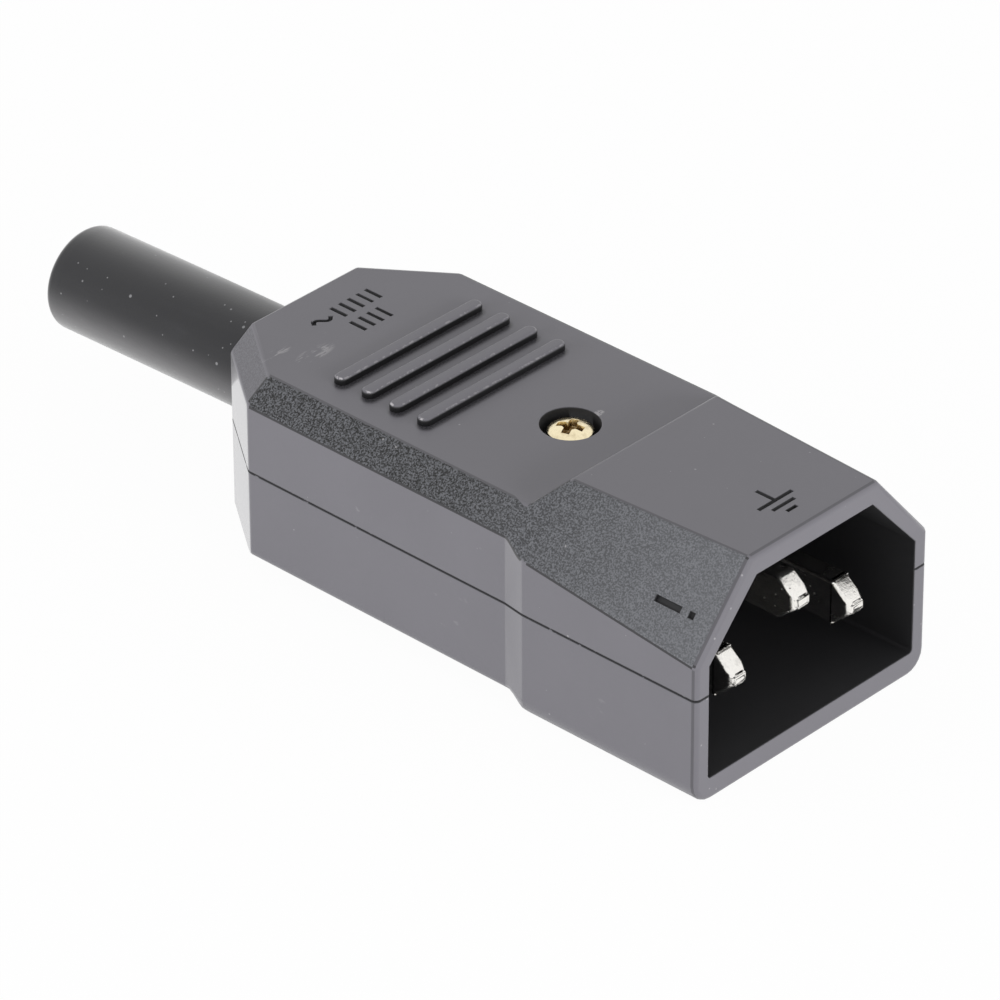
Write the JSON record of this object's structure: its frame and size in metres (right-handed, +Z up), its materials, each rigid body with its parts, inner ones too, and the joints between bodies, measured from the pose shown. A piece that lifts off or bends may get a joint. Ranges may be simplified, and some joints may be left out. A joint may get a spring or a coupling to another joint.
{
  "type": "rewirable C14 power plug",
  "caption": "Rewirable C14 power plug with moulded half shells, nickel plated blades in a keyed shroud, grip ribs, a closing screw and a rubber cord boot.",
  "frame": {"origin": "middle of the whole plug's footprint, boot included, at the height of the front block's flat underside", "axes": "+X towards the mating face, +Z up through the earth blade's side of the shroud, +Y towards the neutral blade"},
  "size_m": [0.082, 0.0274, 0.0204],
  "materials": {
    "shell_plastic": "black moulded polyamide, fine satin grain, spark eroded on the bevels",
    "insert_plastic": "black moulded insert",
    "nickel_plate": "bright nickel plate over brass",
    "bare_brass": "machined brass",
    "screw_steel": "clear zinc plated steel",
    "yellow_zinc": "yellow passivated steel, bright",
    "boot_rubber": "smooth black rubber, half matt"
  },
  "bodies": {
    "root": {"upper_shell": "shell_plastic", "lower_shell": "shell_plastic", "contact_carrier": "insert_plastic", "live_pin": "nickel_plate", "neutral_pin": "nickel_plate", "earth_pin": "nickel_plate", "live_terminal": "bare_brass", "neutral_terminal": "bare_brass", "earth_terminal": "bare_brass", "live_terminal_screw": "screw_steel", "neutral_terminal_screw": "screw_steel", "earth_terminal_screw": "screw_steel", "housing_screw": "yellow_zinc", "housing_nut": "yellow_zinc", "clamp_bar": "shell_plastic", "clamp_screw_left": "screw_steel", "clamp_screw_right": "screw_steel", "cable_boot": "boot_rubber"}
  },
  "joints": []
}
